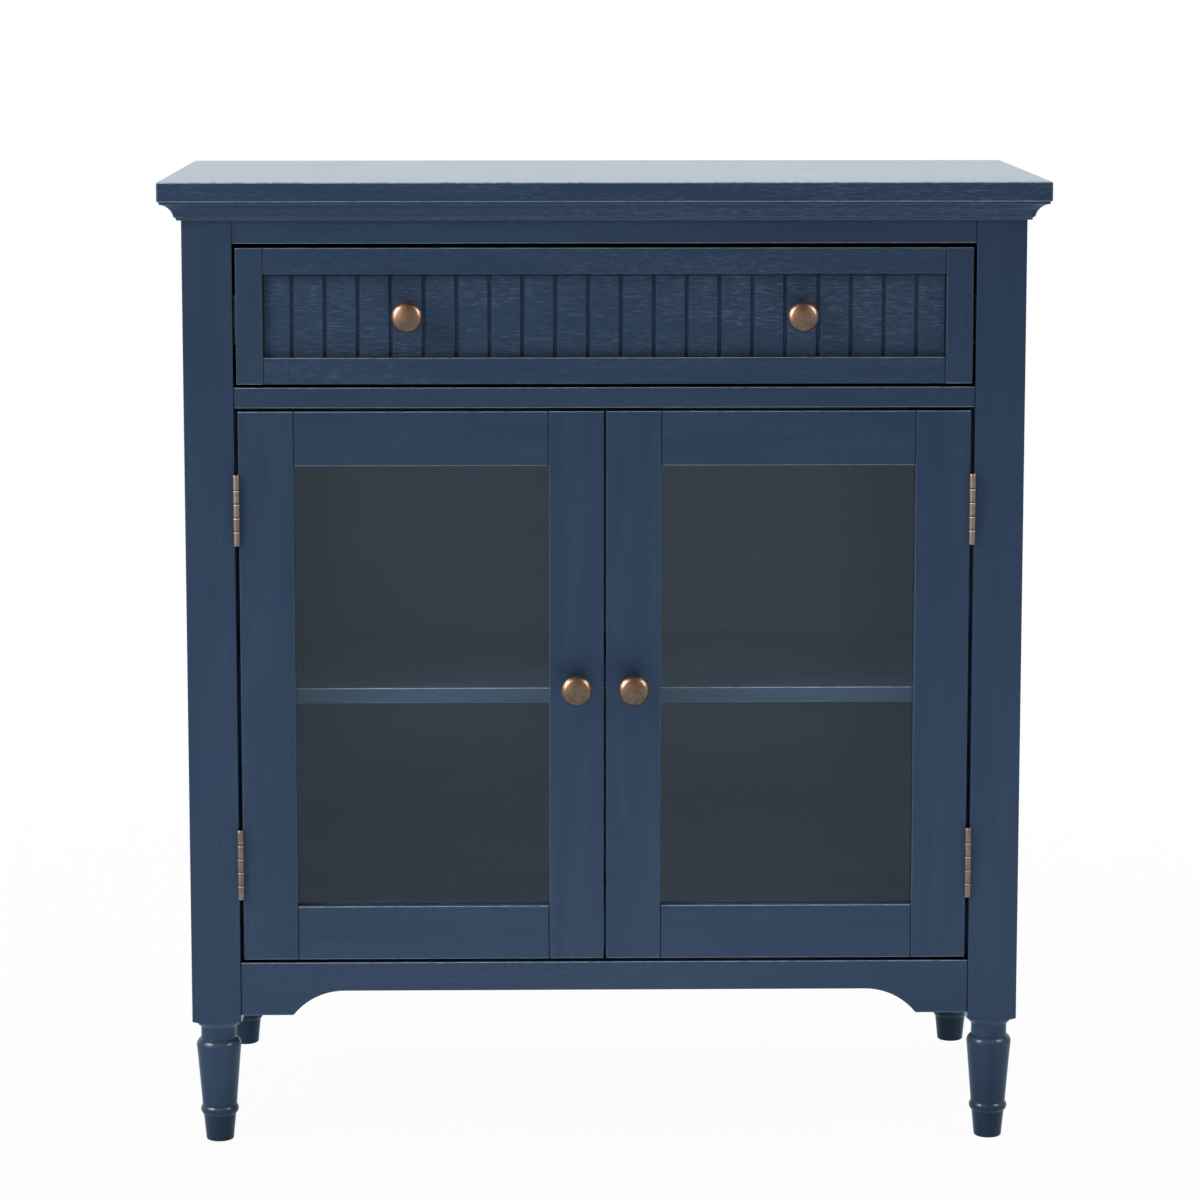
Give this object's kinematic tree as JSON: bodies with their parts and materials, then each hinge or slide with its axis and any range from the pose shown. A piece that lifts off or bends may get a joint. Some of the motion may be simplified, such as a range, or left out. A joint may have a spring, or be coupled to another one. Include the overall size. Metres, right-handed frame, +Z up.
{
  "type": "accent cabinet",
  "caption": "Floor-standing painted wood cabinet with a beadboard-fronted drawer over glazed double doors, a loose shelf, a cove-moulded top and turned feet.",
  "frame": {"origin": "on the floor, under the middle of the overall box, knobs included", "axes": "+X to the right seen from the front, +Y to the back, +Z up; doors and drawer face -Y"},
  "size_m": [0.8, 0.406, 0.89],
  "materials": {
    "navy_wood": "satin navy paint over open grain",
    "natural_wood": "clear satin lacquer",
    "clear_glass": "clear float glass",
    "antique_bronze": "brushed antique bronze",
    "hinge_bronze": "aged bronze plate",
    "zinc_steel": "zinc plated",
    "brown_plastic": "moulded"
  },
  "bodies": {
    "cabinet": {"back_panel": "navy_wood", "bottom_panel": "navy_wood", "cabinet_screws": "zinc_steel", "crown_moulding_front": "navy_wood", "divider_panel": "navy_wood", "front_apron": "navy_wood", "hinge_pins": "hinge_bronze", "hinge_post_leaves": "hinge_bronze", "left_crown_moulding": "navy_wood", "left_front_post": "navy_wood", "left_rear_post": "navy_wood", "left_side_panel": "navy_wood", "left_slide_cabinet_member": "zinc_steel", "magnetic_catches": "brown_plastic", "middle_rail": "navy_wood", "rear_bottom_rail": "navy_wood", "right_crown_moulding": "navy_wood", "right_front_post": "navy_wood", "right_rear_post": "navy_wood", "right_side_panel": "navy_wood", "right_slide_cabinet_member": "zinc_steel", "shelf": "navy_wood", "shelf_pins": "zinc_steel", "top_panel": "navy_wood", "top_rail": "navy_wood"},
    "drawer": {"drawer_box_back": "natural_wood", "drawer_box_bottom": "natural_wood", "drawer_box_front": "natural_wood", "drawer_front_bottom_rail": "navy_wood", "drawer_front_panel": "navy_wood", "drawer_front_top_rail": "navy_wood", "drawer_screws": "zinc_steel", "left_drawer_box_side": "natural_wood", "left_drawer_front_stile": "navy_wood", "left_drawer_knob": "antique_bronze", "left_slide_drawer_member": "zinc_steel", "right_drawer_box_side": "natural_wood", "right_drawer_front_stile": "navy_wood", "right_drawer_knob": "antique_bronze", "right_slide_drawer_member": "zinc_steel"},
    "left_slide": {"left_slide_middle_member": "zinc_steel"},
    "right_slide": {"right_slide_middle_member": "zinc_steel"},
    "left_door": {"left_door_bottom_rail": "navy_wood", "left_door_fixings": "zinc_steel", "left_door_glass": "clear_glass", "left_door_glazing_beads": "navy_wood", "left_door_hinge_leaves": "hinge_bronze", "left_door_hinge_stile": "navy_wood", "left_door_knob": "antique_bronze", "left_door_meeting_stile": "navy_wood", "left_door_top_rail": "navy_wood"},
    "right_door": {"right_door_bottom_rail": "navy_wood", "right_door_fixings": "zinc_steel", "right_door_glass": "clear_glass", "right_door_glazing_beads": "navy_wood", "right_door_hinge_leaves": "hinge_bronze", "right_door_hinge_stile": "navy_wood", "right_door_knob": "antique_bronze", "right_door_meeting_stile": "navy_wood", "right_door_top_rail": "navy_wood"}
  },
  "joints": [
    {"name": "drawer_slide", "type": "slide", "parent": "cabinet", "child": "drawer", "axis": [0, -1, 0], "range_m": [0, 0.3]},
    {"name": "left_slide_travel", "type": "slide", "parent": "cabinet", "child": "left_slide", "axis": [0, -1, 0], "range_m": [0, 0.15]},
    {"name": "right_slide_travel", "type": "slide", "parent": "cabinet", "child": "right_slide", "axis": [0, -1, 0], "range_m": [0, 0.15]},
    {"name": "left_door_hinge", "type": "hinge", "parent": "cabinet", "child": "left_door", "pos_m": [-0.3332, -0.1802, 0.429], "axis": [0, 0, -1], "range_deg": [0, 180]},
    {"name": "right_door_hinge", "type": "hinge", "parent": "cabinet", "child": "right_door", "pos_m": [0.3332, -0.1802, 0.429], "axis": [0, 0, 1], "range_deg": [0, 180]}
  ],
  "couplings": [
    {"joint": "left_slide_travel", "follows": "drawer_slide", "ratio": 0.5},
    {"joint": "right_slide_travel", "follows": "drawer_slide", "ratio": 0.5}
  ]
}
